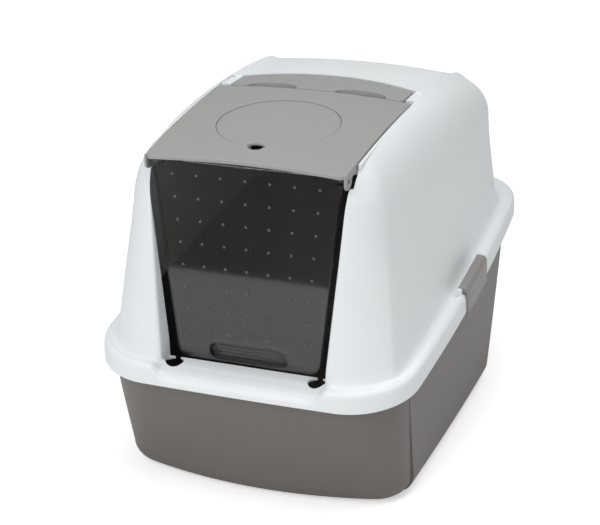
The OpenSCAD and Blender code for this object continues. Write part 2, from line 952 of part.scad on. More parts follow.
module clip_right() {
    color(CLIP_GREY)
        clip();
}

pan();
hood();
lid();
door();
filter_cover();
carbon_filter();
handle();
clip_left();
clip_right();
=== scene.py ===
import math

import bmesh
import bpy
import numpy as np
from mathutils import Matrix, Vector


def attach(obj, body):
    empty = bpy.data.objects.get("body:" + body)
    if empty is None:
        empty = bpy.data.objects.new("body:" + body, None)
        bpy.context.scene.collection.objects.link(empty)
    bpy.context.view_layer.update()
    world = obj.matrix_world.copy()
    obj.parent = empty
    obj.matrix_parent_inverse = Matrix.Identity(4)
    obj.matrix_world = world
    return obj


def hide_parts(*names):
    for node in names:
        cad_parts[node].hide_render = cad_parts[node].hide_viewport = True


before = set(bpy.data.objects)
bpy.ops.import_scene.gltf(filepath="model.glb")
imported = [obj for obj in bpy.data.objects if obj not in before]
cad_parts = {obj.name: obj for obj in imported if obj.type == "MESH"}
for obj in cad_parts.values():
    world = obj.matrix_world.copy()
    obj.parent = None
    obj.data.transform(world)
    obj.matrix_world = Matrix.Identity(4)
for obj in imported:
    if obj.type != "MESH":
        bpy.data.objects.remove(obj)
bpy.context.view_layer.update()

MM = 0.001

# The same sizes as the solids, in millimetres
RIM_W, RIM_L = 192.0, 280.0
RIM_Z, RIM_SLOPE = 180.0, 0.14
RIM_R, RIM_BOW, RIM_END = 76.0, 11.5, 3.5
BAND = 23.0
TOP, ROOF_R = 420.0, 1400.0
HOOD_W, HOOD_FRONT, HOOD_BACK, HOOD_R = 171.0, 264.0, 252.0, 66.0
HOOD_T = 2.8
FRAME_Y, SILL_Z = -241.0, 161.5
OPEN_LOW, OPEN_HIGH, OPEN_TOP_Z = 95.0, 113.5, 386.0
LID_FRONT, LID_BACK = -246.0, -29.3
LID_WF, LID_WB, LID_GAP = 113.5, 117.5, 1.4
COVER_R, COVER_Y, COVER_GAP = 68.2, -142.0, 0.6
HANDLE_BACK, HANDLE_END = 40.5, 11.0
HANDLE_FRONT, HANDLE_AXIS_Y, HANDLE_AXIS_Z = -25.0, -11.0, 409.0
LID_AXIS_Y, LID_AXIS_Z = -33.2, 412.2
DOOR_FACE, DOOR_AXIS_Y, DOOR_AXIS_Z = -240.5, -236.5, 386.004
DOOR_FOOT, DOOR_TOP, DOOR_LOW, DOOR_HIGH, GRIP_Z = 163.5, 390.504, 82.0, 108.6, 175.5
RECESS_Z, CUT_Z = 390.0, 376.0
CLIP_Y = 3.0


def rim(y):
    return RIM_Z + RIM_SLOPE * y


def dome(x, y, depth=0.0):
    return TOP - ROOF_R + np.sqrt((ROOF_R - depth) ** 2 - x * x - y * y)


def smooth(u):
    v = np.clip(u, 0, 1)
    return v * v * (3 - 2 * v)


def lerp(a, b, w):
    return a + (b - a) * w


class Quarter:
    """A quarter of a bowed rounded rectangle: side arc, corner arc and end arc, all tangent."""

    def __init__(self, hx, hy, sx, sy, r):
        self.side_r = (hy * hy + sx * sx) / (2 * sx)
        self.end_r = (hx * hx + sy * sy) / (2 * sy)
        self.a = hx - self.side_r
        self.b = hy - self.end_r
        p, q = self.side_r - r, self.end_r - r
        d = math.hypot(self.a, self.b)
        t = (p * p - q * q + d * d) / (2 * d)
        h = math.sqrt(max(p * p - t * t, 0))
        ux, uy = -self.a / d, self.b / d
        c = (self.a + t * ux - h * uy, t * uy + h * ux)
        if c[0] <= 0 or c[1] <= 0:
            c = (self.a + t * ux + h * uy, t * uy - h * ux)
        self.c, self.r = c, r
        self.start = math.atan2(c[1], c[0] - self.a)
        self.stop = math.atan2(c[1] - self.b, c[0])
        self.corner_x = self.end_r * math.cos(self.stop)

    def end_y(self, x):
        """How far out the end stands at a distance x from the middle."""
        return self.b + np.sqrt(self.end_r ** 2 - np.asarray(x, float) ** 2)

    def corner(self, n):
        """From the end arc round to the side arc, without the first point."""
        g = self.stop + (self.start - self.stop) * np.arange(1, n + 1) / n
        return np.stack([self.c[0] + self.r * np.cos(g), self.c[1] + self.r * np.sin(g)], 1)

    def side(self, n):
        """From the corner to the middle of the side, without the first point."""
        g = self.start * (1 - np.arange(1, n + 1) / n)
        return np.stack([self.a + self.side_r * np.cos(g), self.side_r * np.sin(g)], 1)


def new_object(name, verts, faces):
    mesh = bpy.data.meshes.new(name)
    mesh.from_pydata([tuple(float(c) for c in v) for v in (np.asarray(verts, float) * MM)], [], [tuple(int(i) for i in f) for f in faces])
    obj = bpy.data.objects.new(name, mesh)
    bpy.context.scene.collection.objects.link(obj)
    return obj


def shade(obj, angle=32):
    mesh = obj.data
    mesh.polygons.foreach_set("use_smooth", [True] * len(mesh.polygons))
    mesh.set_sharp_from_angle(angle=math.radians(angle))
    mesh.update()


def clean(obj, distance=0.00001):
    bm = bmesh.new()
    bm.from_mesh(obj.data)
    bmesh.ops.remove_doubles(bm, verts=bm.verts, dist=distance)
    bmesh.ops.dissolve_degenerate(bm, edges=bm.edges, dist=distance)
    bmesh.ops.recalc_face_normals(bm, faces=bm.faces)
    bm.to_mesh(obj.data)
    bm.free()


def apply_modifiers(obj):
    depsgraph = bpy.context.evaluated_depsgraph_get()
    result = bpy.data.meshes.new_from_object(obj.evaluated_get(depsgraph))
    old = obj.data
    obj.modifiers.clear()
    obj.data = result
    bpy.data.meshes.remove(old)


def boolean(obj, cutter, operation="DIFFERENCE", solver="MANIFOLD"):
    before = len(obj.data.polygons)
    modifier = obj.modifiers.new("cut", "BOOLEAN")
    modifier.operation = operation
    modifier.solver = solver
    modifier.object = cutter
    bpy.context.view_layer.update()
    apply_modifiers(obj)
    if len(obj.data.polygons) == before:
        print("boolean without effect:", obj.name, operation)
    bpy.data.objects.remove(cutter)


def join(name, parts):
    """One object from several, with their modifiers applied."""
    bm = bmesh.new()
    for p in parts:
        if p.modifiers:
            apply_modifiers(p)
        p.data.transform(p.matrix_world)
        bm.from_mesh(p.data)
    mesh = bpy.data.meshes.new(name)
    bm.to_mesh(mesh)
    bm.free()
    for p in parts:
        bpy.data.objects.remove(p)
    obj = bpy.data.objects.new(name, mesh)
    bpy.context.scene.collection.objects.link(obj)
    return obj


def grid_faces(rings, n, closed=True, skip=None):
    faces = []
    for k in range(rings - 1):
        for i in range(n if closed else n - 1):
            if skip is not None and skip(k, i):
                continue
            j = (i + 1) % n
            faces.append((k * n + i, k * n + j, (k + 1) * n + j, (k + 1) * n + i))
    return faces


def stack(name, rings, pole_first=None, pole_last=None, skip=None, extra=()):
    """A closed skin through rings of the same number of points, with a pole at each end."""
    n = len(rings[0])
    verts = np.concatenate([np.asarray(r, float) for r in rings])
    faces = grid_faces(len(rings), n, True, skip)
    points = [verts]
    count = len(verts)
    if pole_first is not None:
        points.append(np.array([pole_first], float))
        faces += [(count, (i + 1) % n, i) for i in range(n)]
        count += 1
    if pole_last is not None:
        base = (len(rings) - 1) * n
        points.append(np.array([pole_last], float))
        faces += [(count, base + i, base + (i + 1) % n) for i in range(n)]
    faces += list(extra)
    return new_object(name, np.concatenate(points), faces)


def spline_rings(rings, parts):
    """Catmull-Rom through a list of rings: every ring is kept, and parts - 1 more lie between each two."""
    r = np.asarray(rings, float)
    out = []
    last = len(r) - 1
    for k in range(last):
        p0, p1, p2, p3 = r[max(k - 1, 0)], r[k], r[k + 1], r[min(k + 2, last)]
        d1 = np.linalg.norm(p2 - p1, axis=1, keepdims=True) + 1e-9
        d0 = np.linalg.norm(p1 - p0, axis=1, keepdims=True) + 1e-9
        d2 = np.linalg.norm(p3 - p2, axis=1, keepdims=True) + 1e-9
        m1 = (p2 - p0) / (d0 + d1) * d1 if k > 0 else p2 - p1
        m2 = (p3 - p1) / (d1 + d2) * d1 if k < last - 1 else p2 - p1
        for j in range(parts):
            s = j / parts
            out.append((2 * s ** 3 - 3 * s ** 2 + 1) * p1 + (s ** 3 - 2 * s ** 2 + s) * m1
                       + (3 * s ** 2 - 2 * s ** 3) * p2 + (s ** 3 - s ** 2) * m2)
    out.append(r[-1])
    return out


def prism(name, outline, z0, z1):
    """A vertical prism over a plan outline."""
    n = len(outline)
    verts = [(x, y, z0) for x, y in outline] + [(x, y, z1) for x, y in outline]
    faces = [tuple(range(n - 1, -1, -1)), tuple(range(n, 2 * n))]
    faces += [(i, (i + 1) % n, n + (i + 1) % n, n + i) for i in range(n)]
    return new_object(name, verts, faces)


def cylinder(name, r0, r1, start, stop, n=64):
    """A cone or cylinder between two points."""
    start, stop = Vector(start), Vector(stop)
    axis = (stop - start).normalized()
    side = axis.orthogonal().normalized()
    other = axis.cross(side)
    verts = []
    for centre, r in ((start, r0), (stop, r1)):
        for i in range(n):
            g = 2 * math.pi * i / n
            verts.append(centre + side * (r * math.cos(g)) + other * (r * math.sin(g)))
    faces = [tuple(range(n - 1, -1, -1)), tuple(range(n, 2 * n))]
    faces += [(i, (i + 1) % n, n + (i + 1) % n, n + i) for i in range(n)]
    return new_object(name, [tuple(v) for v in verts], faces)


def box(name, low, high):
    outline = [(low[0], low[1]), (high[0], low[1]), (high[0], high[1]), (low[0], high[1])]
    return prism(name, outline, low[2], high[2])


def finish_piece(obj, body, replaces=(), angle=32):
    clean(obj)
    shade(obj, angle)
    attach(obj, body)
    if replaces:
        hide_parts(*replaces)
    return obj


# Pan: outer skin, lip, inner skin

N_END, N_CORNER, N_SIDE = 14, 16, 16


def plain_half(q_front, q_back, step=0.0):
    """Half a ring, from the middle of the front round the right to the middle of the back."""
    x = q_front.corner_x * np.arange(0, N_END + 1) / N_END
    front = np.stack([x, -q_front.end_y(x)], 1)
    corner = q_front.corner(N_CORNER) * [1, -1]
    side = q_front.side(N_SIDE) * [1, -1]
    side_back = q_back.side(N_SIDE)[::-1][1:]
    corner_back = q_back.corner(N_CORNER)[::-1]
    xb = q_back.corner_x * np.arange(0, N_END) / N_END
    back = np.stack([xb, q_back.end_y(xb)], 1)[::-1]
    first_side = np.array([corner[-1] + [step, 0]])
    last_side = np.array([corner_back[0] + [step, 0]])
    side = side + [step, 0]
    side_back = side_back + [step, 0]
    join_back = q_back.c[0], q_back.c[1]
    tail = np.array([[q_back.corner_x, q_back.end_y(q_back.corner_x)]])
    return np.concatenate([front, corner, first_side, side, side_back, last_side, corner_back, tail, back])


def both_halves(half):
    """The whole ring from its right half."""
    return np.concatenate([half, (half * [-1, 1])[::-1][1:-1]])


def pan_outline(u, inset):
    hx = lerp(172.0, RIM_W - 11, u) - inset
    front = lerp(238.0, RIM_L - 11, u) - inset
    back = lerp(213.0, RIM_L - 11, u) - inset
    side_bow, end_bow = lerp(3.0, RIM_BOW, u), lerp(28.0, RIM_END, u)
    r = max(lerp(46.0, RIM_R - 11, u) - inset, 12)
    step = 2.4 * (1 - u)
    return both_halves(plain_half(Quarter(hx, front, side_bow, end_bow, r), Quarter(hx, back, side_bow, end_bow, r), step))


def pan_ring(v, inset, fillet=26.0):
    p = pan_outline(v, inset)
    return np.column_stack([p, fillet + v * (rim(p[:, 1]) - fillet)])


def pan_fillet(g, inset, base, fillet=26.0):
    p = pan_outline(0, inset + (fillet - inset) * (1 - math.sin(g)))
    return np.column_stack([p, np.full(len(p), base + (fillet - base) * (1 - math.cos(g)))])


def rim_ring(inset, lift):
    q = Quarter(RIM_W - inset, RIM_L - inset, RIM_BOW, RIM_END, RIM_R - inset)
    p = both_halves(plain_half(q, q))
    return np.column_stack([p, rim(p[:, 1]) + lift])


def build_pan():
    base = pan_fillet(0, 0, 0)
    rings = [np.column_stack([base[:, :2] * s, np.zeros(len(base))]) for s in (0.35, 0.7)]
    rings += [pan_fillet(math.radians(g), 0, 0) for g in range(0, 90, 9)]
    rings += [pan_ring(v, 0) for v in np.linspace(0, 1, 25)]
    rings += [rim_ring(11, 3.2), rim_ring(4.9, 3.2), rim_ring(4.5, 3.6), rim_ring(4.5, 5.8), rim_ring(4.9, 6.2)]
    rings += [rim_ring(13.2, 6.2), rim_ring(14, 5.4)]
    rings += [pan_ring(v, 3.0) for v in np.linspace(0.99, 0, 16)]
    rings += [pan_fillet(math.radians(g), 3.0, 3.0) for g in range(81, -1, -9)]
    inner = rings[-1]
    rings += [np.column_stack([inner[:, :2] * s, np.full(len(inner), 3.0)]) for s in (0.7, 0.35)]
    return stack("pan_shell", rings, (0, 0, 0), (0, 0, 3.0))


# Hood: one skin from the inside of the roof, down and round the skirt, and up the outside

N_OPEN, N_RETURN, N_CHEEK, N_HCORNER, N_HSIDE, N_HBACK = 10, 12, 10, 26, 16, 14
EDGE_R, FLARE, FINE = 5.0, 0.045, 240
CREASE_COLUMN, CREASE_REACH, CREASE_UP = 18, 48.0, 5.0
RIDGE, RIDGE_REACH = 4.0, 15.0


def open_x(z):
    return OPEN_LOW + (OPEN_HIGH - OPEN_LOW) * (z - SILL_Z) / (OPEN_TOP_Z - SILL_Z)


def bulge(t, turn, foot, lean, reach):
    if t < turn:
        return foot - lean * t / turn
    u = (t - turn) / (1 - turn)
    return foot - lean - reach * (1 - math.sqrt(max(1 - u * u, 0)))


def hood_quarters(t, inset):
    hx = bulge(t, 0.7, HOOD_W, 14.0, 39.5) - inset
    front = bulge(t, 0.8, HOOD_FRONT, 18.0, 32.0) - inset
    back = bulge(t, 0.6, HOOD_BACK, 34.0, 78.0) - inset
    r = HOOD_R - 20 * t - inset
    return Quarter(hx, front, 8, 4, r), Quarter(hx, back, 8, 4 + 8 * t, r - 30 * t ** 3)


def half_columns(q_front, q_back, xi, xo, edge, angle=25.0, crease=0.0):
    """Right half of a ring whose columns gather at the edge of the opening, with a crease at the front corner."""
    x = q_front.corner_x * np.arange(0, FINE) / (FINE - 1)
    path = np.concatenate([np.stack([x, -q_front.end_y(x)], 1), q_front.corner(FINE) * [1, -1]])
    run = np.concatenate([[0], np.cumsum(np.linalg.norm(np.diff(path, axis=0), axis=1))])
    opening = xi * np.arange(0, N_OPEN + 1) / N_OPEN
    returned = xi + (xo + edge - xi) * np.arange(1, N_RETURN + 1) / N_RETURN
    near = np.interp(np.concatenate([opening, returned]), path[:, 0], run)
    crease_run = run[FINE - 1] + q_front.r * (q_front.stop - q_front.start - math.radians(angle))
    cheek = np.linspace(near[-1], crease_run, N_CHEEK + CREASE_COLUMN + 1)[1:]
    turn = np.linspace(crease_run, run[-1], N_HCORNER - CREASE_COLUMN + 1)[1:]
    where = np.concatenate([near, cheek, turn])
    front = np.stack([np.interp(where, run, path[:, 0]), np.interp(where, run, path[:, 1])], 1)
    side = q_front.side(N_HSIDE) * [1, -1]
    side_back = q_back.side(N_HSIDE)[::-1][1:]
    corner_back = q_back.corner(N_HCORNER)[::-1]
    xb = q_back.corner_x * np.arange(0, N_HBACK + 1) / N_HBACK
    back = np.stack([xb, q_back.end_y(xb)], 1)[::-1]
    start_back = np.array([q_back.c]) + q_back.r * np.array([[math.cos(q_back.start), math.sin(q_back.start)]])
    p = np.concatenate([front, side, side_back, start_back, corner_back[1:], back])
    run = np.concatenate([[0], np.cumsum(np.linalg.norm(np.diff(p, axis=0), axis=1))])
    away = np.abs(run - run[len(near) + N_CHEEK + CREASE_COLUMN - 1])
    d = np.gradient(p, axis=0)
    out = np.stack([-d[:, 1], d[:, 0]], 1) / (np.linalg.norm(d, axis=1)[:, None] + 1e-9)
    return p - out * (crease * np.clip(1 - away / CREASE_REACH, 0, 1) ** 2)[:, None]


def ridge(x, y):
    """The raised line along each side of the roof, behind the lid."""
    line = 117.5 * (1 + FLARE * y / 200)
    near = np.clip(1 - np.abs(np.abs(x) - line) / RIDGE_REACH, 0, 1) ** 2
    return RIDGE * near * smooth((y + 50) / 70)


def level_z(t, x, y, inset):
    foot = rim(y) + BAND
    return foot + t * (dome(x, y) - foot) - inset * t + ridge(x, y) * smooth((t - 0.75) / 0.2)


def hood_half(t, inset):
    """Right half of a hood ring, with the wall turned in at the opening."""
    q_front, q_back = hood_quarters(t, inset)
    foot = rim(-250.0) + BAND
    z0 = foot + t * (dome(105.0, -250.0) - foot)
    xo = open_x(z0) + inset
    angle = float(np.interp(t, [0, 0.4, 0.7, 1], [25, 19, 10, 4]))
    crease = CREASE_UP * (1 - smooth(t / 0.9))
    scale = 1 - FLARE * t * 250 / 200
    edge = EDGE_R - inset * 0.8
    p = half_columns(q_front, q_back, (xo - 2.5) / scale, xo / scale, edge / scale, angle, float(crease))
    p[:, 0] *= 1 + FLARE * t * p[:, 1] / 200
    xo_y = float(np.interp(xo, p[:N_OPEN + N_RETURN + N_CHEEK, 0], p[:N_OPEN + N_RETURN + N_CHEEK, 1]))
    corner = np.array([xo, xo_y])
    frame_y = max(FRAME_Y, xo_y + 1.2) if inset == 0 else float(hood_half(t, 0)[0, 1])
    depth = max(frame_y - xo_y, 1.0)
    inner = np.array([xo - 0.12 * depth, frame_y])
    first, last = N_OPEN, N_OPEN + N_RETURN
    p[:first + 1, 0] = inner[0] * np.arange(0, first + 1) / first
    p[:first + 1, 1] = frame_y
    reach = min(EDGE_R - inset * 0.8, depth * 0.7)
    along = (corner - inner) / np.linalg.norm(corner - inner)
    p1 = corner - along * reach
    p2 = p[last].copy()
    straight = N_RETURN // 3
    for k in range(1, straight + 1):
        p[first + k] = lerp(inner, p1, k / straight)
    for k in range(straight + 1, N_RETURN + 1):
        s = (k - straight) / (N_RETURN - straight)
        p[first + k] = (1 - s) ** 2 * p1 + 2 * s * (1 - s) * corner + s * s * p2
    return p


def hood_ring(t, inset):
    half = both_halves(hood_half(t, inset))
    x, y = half[:, 0], half[:, 1]
    return np.column_stack([half, level_z(t, x, y, inset)])


def low_ring(q_front, q_back, lift, sill_inset, sill_lift, crease=0.0):
    """A ring of the rim band or the cove, whose front dips to the sill between the shoulders."""
    p = both_halves(half_columns(q_front, q_back, OPEN_LOW - 2.5, OPEN_LOW, EDGE_R, crease=crease))
    rest = np.column_stack([p, rim(p[:, 1]) + lift])
    rq = Quarter(RIM_W, RIM_L, RIM_BOW, RIM_END, RIM_R)
    y = -rq.end_y(np.clip(np.abs(p[:, 0]), 0, rq.corner_x)) + sill_inset
    sill = np.column_stack([p[:, 0], y, rim(y) + sill_lift])
    w = np.where(p[:, 1] > -200, 0, 1 - smooth((np.abs(p[:, 0]) - 87) / 17))
    return lerp(rest, sill, w[:, None])


def band_ring(inset, lift, sill_inset, sill_lift):
    q = Quarter(RIM_W - inset, RIM_L - inset, RIM_BOW, RIM_END, RIM_R - inset)
    return low_ring(q, q, lift, sill_inset, sill_lift)


def cove_ring(out, lift, sill_inset, sill_lift):
    q_front = Quarter(HOOD_W + out, HOOD_FRONT + out * 0.5, 8, 4, HOOD_R + out)
    q_back = Quarter(HOOD_W + out, HOOD_BACK + out, 8, 4, HOOD_R + out)
    return low_ring(q_front, q_back, lift, sill_inset, sill_lift, CREASE_UP - out * 0.4)


def sill_ring(inset):
    """The ring at the foot of the opening: flat along the sill, and up the foot of the cheeks."""
    t = 0.03
    half = both_halves(hood_half(t, inset))
    x, y = half[:, 0], half[:, 1]
    z = level_z(t, x, y, 0) + 1.5
    flat = SILL_Z - (y - FRAME_Y) * -0.12 - inset
    n = len(half)
    index = np.minimum(np.arange(n), n - np.arange(n))
    w = 1 - smooth((index - N_OPEN) / (N_RETURN + 2))
    z = lerp(z, flat, w)
    return np.column_stack([half, z])


def cap_rings(ring, inset, shares):
    centre_y = -20.0
    out = []
    for s in shares:
        x = ring[:, 0] * s
        y = (ring[:, 1] - centre_y) * s + centre_y
        out.append(np.column_stack([x, y, dome(x, y) - inset + ridge(x, y)]))
    return out


def build_hood():
    levels = np.concatenate([np.linspace(0.06, 0.7, 26), 1 - 0.3 * (1 - np.linspace(0, 1, 26)[1:]) ** 2])
    top_outer, top_inner = hood_ring(1.0, 0.0), hood_ring(1.0, HOOD_T)
    shares = np.linspace(1, 0, 14)[1:-1]
    inner = cap_rings(top_inner, HOOD_T, shares[::-1])
    inner += [hood_ring(t, HOOD_T) for t in levels[::-1]]
    inner_sill = len(inner)
    inner += [sill_ring(HOOD_T)]
    w = HOOD_T
    inner += [cove_ring(4 - w, 25 - w / 2, 25, 15.9 - w), cove_ring(8.5 - w, BAND - w, 15, 15.1 - w)]
    inner += [band_ring(6.5, BAND - w, 8.5 + w / 2, 12 - w), band_ring(6.5, 6.2, 8.5, 6.2 - 1e-3)]
    inner += [band_ring(w, 6.2, w, 3.0), band_ring(w, 0.4, w, 0.4), band_ring(w - 0.4, 0, w - 0.4, 0)]
    outer = [band_ring(0.4, 0, 0.4, 0), band_ring(0, 0.4, 0, 0.4)]
    control = [
        band_ring(0, 0.4, 0, 0.4),
        band_ring(0.2, 14.95, 0.2, 2.7),
        band_ring(1.2, 20.3, 1.2, 6.5),
        band_ring(3.4, 22.5, 4, 9.9),
        band_ring(5.6, 23.5, 6.6, 11.9),
        band_ring(6.3, 23.5, 7.6, 12.6),
        band_ring(7.4, 22.9, 9.4, 13.2),
        band_ring(10.4, 21.6, 13, 14.2),
        cove_ring(6.5, 21.8, 20, 15.1),
        cove_ring(2.4, 24.6, 25, 15.9),
    ]
    ending = [sill_ring(0), hood_ring(levels[0], 0), hood_ring(levels[1], 0)]
    curved = spline_rings(control + ending[:1], 4)
    outer += curved[1:]
    outer_sill = len(inner) + len(outer) - 1
    outer += [hood_ring(t, 0) for t in levels]
    outer_top = len(inner) + len(outer) - 1
    outer += cap_rings(top_outer, 0, shares)
    inner_top = len(shares)
    rings = inner + outer
    n = len(rings[0])

    def opening(i):
        return i < N_OPEN or i >= n - N_OPEN

    def skip(k, i):
        return opening(i) and (inner_top <= k < inner_sill or outer_sill <= k < outer_top)

    extra = []
    for a, b in ((inner_sill, outer_sill), (inner_top, outer_top)):
        for i in range(n):
            if opening(i):
                j = (i + 1) % n
                extra.append((a * n + i, a * n + j, b * n + j, b * n + i))
    count = inner_sill - inner_top
    assert count == outer_top - outer_sill
    for column in (N_OPEN, n - N_OPEN):
        for k in range(count):
            a, b = inner_sill - k, inner_sill - k - 1
            c, d = outer_sill + k, outer_sill + k + 1
            extra.append((a * n + column, b * n + column, d * n + column, c * n + column))
    centre = (0, -20.0)
    return stack("hood_shell", rings, (*centre, dome(*centre) - HOOD_T), (*centre, dome(*centre)), skip, extra)


def arch_circle(grow):
    half = LID_WB + LID_GAP
    rise = HANDLE_BACK - HANDLE_END
    r = (half * half + rise * rise) / (2 * rise)
    return HANDLE_BACK + LID_GAP - r, r + grow


def recess_outline(grow):
    half = LID_WB + LID_GAP + grow
    cy, r = arch_circle(grow)
    front = LID_BACK - 2 - grow
    top = math.asin(half / r)
    g = np.linspace(top, -top, 49)
    arc = [(r * math.sin(a), cy + r * math.cos(a)) for a in g]
    return [(-half, front), (half, front)] + arc


def lid_outline(grow, front, back):
    return [(-LID_WF - grow, front), (LID_WF + grow, front), (LID_WB + grow, back), (-LID_WB - grow, back)]


# Small building helpers: outlines, plates and lofts

def rounded(points, radii, steps=6):
    """A closed outline with its corners rounded."""
    p = np.asarray(points, float)
    out = []
    for i in range(len(p)):
        a, b = p[i - 1] - p[i], p[(i + 1) % len(p)] - p[i]
        la, lb = np.linalg.norm(a), np.linalg.norm(b)
        a, b = a / la, b / lb
        half = math.acos(max(-1.0, min(1.0, float(a @ b)))) / 2
        d = min(radii[i] / math.tan(half), 0.48 * la, 0.48 * lb)
        for s in np.linspace(0, 1, steps + 1):
            out.append((1 - s) ** 2 * (p[i] + a * d) + 2 * s * (1 - s) * p[i] + s * s * (p[i] + b * d))
    return np.array(out)


def stadium(length, height, n=16):
    """A slot-shaped outline about the origin."""
    r, half = height / 2, length / 2 - height / 2
    g = np.linspace(-math.pi / 2, math.pi / 2, n)
    end = np.stack([half + r * np.cos(g), r * np.sin(g)], 1)
    return np.concatenate([end, -end])


def inset_outline(outline, distance):
    edge = np.roll(outline, -1, 0) - outline
    edge /= np.linalg.norm(edge, axis=1)[:, None]
    normal = np.stack([-edge[:, 1], edge[:, 0]], 1)
    before = np.roll(normal, 1, 0)
    mitre = (normal + before) / (1 + (normal * before).sum(1))[:, None]
    return outline + mitre * distance


def loft(name, sections):
    """A closed skin through closed sections, with a face across each end."""
    n = len(sections[0])
    last = (len(sections) - 1) * n
    faces = grid_faces(len(sections), n) + [tuple(range(n)), tuple(range(last, last + n))]
    obj = new_object(name, np.concatenate(sections), faces)
    clean(obj)
    return obj


def slab(name, outline, place, profile):
    """A plate: the outline at pairs of inset and height, put in place by a function."""
    return loft(name, [place(inset_outline(outline, i), h) for i, h in profile])


def column(height, n):
    return np.full(n, float(height))


def on_door(p, h):
    """From the door's front face, h backward."""
    return np.column_stack([p[:, 0], column(DOOR_FACE + h, len(p)), p[:, 1]])


def across(side, x0):
    """Outlines drawn in y and z, stood at a distance x from the middle."""
    return lambda p, h: np.column_stack([column(side * (x0 + h), len(p)), p[:, 0], p[:, 1]])


def on_rim(side):
    """Outlines drawn in x and height above the rim, laid along the rim at the clip."""
    tilt = math.atan(RIM_SLOPE)

    def place(p, h):
        y = CLIP_Y + h * math.cos(tilt) - p[:, 1] * math.sin(tilt)
        z = rim(CLIP_Y) + h * math.sin(tilt) + p[:, 1] * math.cos(tilt)
        return np.column_stack([side * p[:, 0], y, z])
    return place


COVER_TILT = math.asin(-COVER_Y / ROOF_R)
COVER_MATRIX = Matrix.Translation((0, COVER_Y, float(dome(0, COVER_Y)))) @ Matrix.Rotation(COVER_TILT, 4, "X")


def on_cover(p, h):
    return np.array([COVER_MATRIX @ Vector((float(x), float(y), h)) for x, y in p])


def cover_cylinder(r, low, high, x=0.0, y=0.0):
    return cylinder("part", r, r, COVER_MATRIX @ Vector((x, y, low)), COVER_MATRIX @ Vector((x, y, high)), 96)


def rod(r, x0, x1, y, z):
    """A rod along x."""
    return cylinder("part", r, r, (x0, y, z), (x1, y, z), 32)


def add(obj, parts):
    for p in parts:
        clean(p)
        boolean(obj, p, "UNION")


def take(obj, parts):
    for p in parts:
        clean(p)
        boolean(obj, p)


def corner_cut(e, r):
    """How far an edge pulls back near its rounded end, at a distance e from the end."""
    return r - math.sqrt(max(r * r - (r - e) ** 2, 0)) if e < r else 0.0


def edge_columns(half, middle):
    near = np.array([0, 0.3, 0.8, 1.4, 2.2, 3.4, 3.6, 5.2, 7.2, 10])
    positive = np.concatenate([half - near, np.linspace(half - 14, 0, middle)])
    return np.concatenate([-positive, positive[::-1][1:]])


# Hood, with its rails, the recess for the handle and the lugs

def recess_tray():
    outer = np.array(recess_outline(HOOD_T))
    inner = np.array(recess_outline(0))

    def top(p):
        high = dome(p[:, 0], p[:, 1]) - HOOD_T / 2
        return np.where(p[:, 1] < LID_BACK, 402.2, high)
    rings = [np.column_stack([outer, column(RECESS_Z - HOOD_T, len(outer))]),
             np.column_stack([outer, np.minimum(top(outer), top(inner))]),
             np.column_stack([inner, np.minimum(top(outer), top(inner))]),
             np.column_stack([inner, column(RECESS_Z, len(inner))])]
    return loft("part", rings)


def lid_x(y):
    return LID_WF + (LID_WB - LID_WF) * (y - LID_FRONT) / (LID_BACK - LID_FRONT)


def lid_rails(side):
    parts = []
    for inner, low, high, back in ((LID_GAP, 13.0, HOOD_T / 2, LID_BACK), (-8.0, 13.0, 9.3, LID_BACK - 12)):
        sections = []
        for y in np.linspace(LID_FRONT + 34, back, 12):
            a, b = lid_x(y) + inner, lid_x(y) + LID_GAP + 3
            za, zb = float(dome(a, y)), float(dome(b, y))
            corners = [(a, za - low), (b, zb - low), (b, zb - high), (a, za - high)]
            sections.append(np.array([(side * x, y, z) for x, z in corners]))
        parts.append(loft("part", sections))
    return parts


def end_block(side):
    """The white shelf beside one end of the handle, level with the roof."""
    sections = []
    for y in np.linspace(-20.5, 18, 14):
        a, b = 107.2, 119.6
        xs = np.linspace(a, b, 5)
        top = [(x, float(dome(x, y)) - 0.3 - (0.5 if x == a else 0)) for x in xs]
        corners = [(b, RECESS_Z - 1), *top[::-1], (a, RECESS_Z - 1)]
        sections.append(np.array([(side * x, y, z) for x, z in corners]))
    return loft("part", sections)


def lugs(side):
    parts = [rod(4, side * 37.5, side * 42.5, LID_AXIS_Y, LID_AXIS_Z),
             slab("part", rounded([(LID_AXIS_Y - 4, RECESS_Z - 1), (LID_AXIS_Y + 3, RECESS_Z - 1),
                                   (LID_AXIS_Y + 3, LID_AXIS_Z), (LID_AXIS_Y - 4, LID_AXIS_Z)], [0.3] * 4, 2),
                  across(side, 37.5), [(0, 0), (0, 5)]),
             rod(5, side * 110, side * 118.5, HANDLE_AXIS_Y, HANDLE_AXIS_Z),
             slab("part", rounded([(HANDLE_AXIS_Y - 5, RECESS_Z - 1), (HANDLE_AXIS_Y + 5, RECESS_Z - 1),
                                   (HANDLE_AXIS_Y + 5, HANDLE_AXIS_Z), (HANDLE_AXIS_Y - 5, HANDLE_AXIS_Z)],
                                  [0.3] * 4, 2), across(side, 110), [(0, 0), (0, 8.5)])]
    knob = rounded([(179.9, 21.7), (187.1, 21.7), (187.1, 30.8), (179.9, 30.8)], [0.4, 0.4, 3.6, 3.6])
    for h in (-47, 43):
        parts.append(slab("part", knob, on_rim(side), [(0.4, h), (0, h + 0.4), (0, h + 3.6), (0.4, h + 4)]))
    return parts


def clip_seats(side):
    cuts = []
    for x, low, high in ((190.2, -10, 30), (185.0, -2.2, 4.2)):
        outline = np.array([(x, low), (210.0, low), (210.0, high), (x, high)])
        cuts.append(slab("cut", outline, on_rim(side), [(0, -42.8), (0, 42.8)]))
    return cuts


